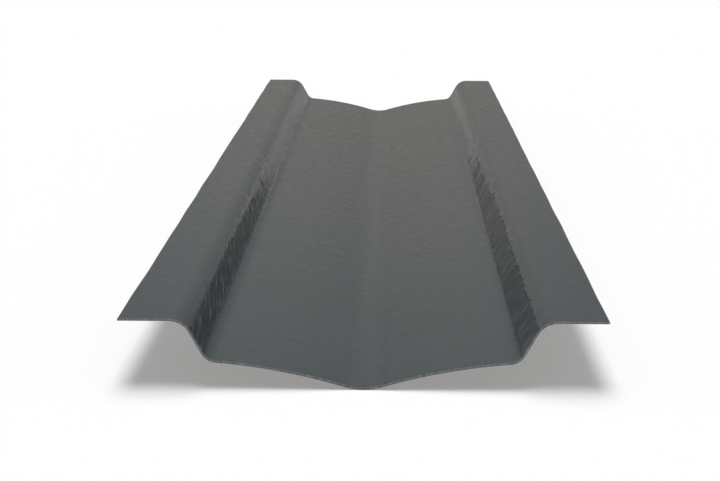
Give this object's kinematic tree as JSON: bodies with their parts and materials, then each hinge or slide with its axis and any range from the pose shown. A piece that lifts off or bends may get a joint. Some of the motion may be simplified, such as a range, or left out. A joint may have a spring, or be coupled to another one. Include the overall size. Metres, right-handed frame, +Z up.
{
  "type": "roof valley trough",
  "caption": "Long moulded sheet with flat outer flanges, sloping upstands and a shallow water course that falls to a rounded central fold, for draining a roof valley.",
  "frame": {"origin": "middle of the sheet's length, on the underside of the central fold, where the sheet rests", "axes": "+Y along the valley, +X across it to the right seen from the near end, +Z up out of the channel"},
  "size_m": [0.4, 3, 0.0574],
  "materials": {
    "laminate": "dark grey pigmented glass-fibre laminate, film-faced with fine cross ripples, satin to semi-gloss, sawn edges paler"
  },
  "bodies": {
    "root": {"valley_trough": "laminate"}
  },
  "joints": []
}
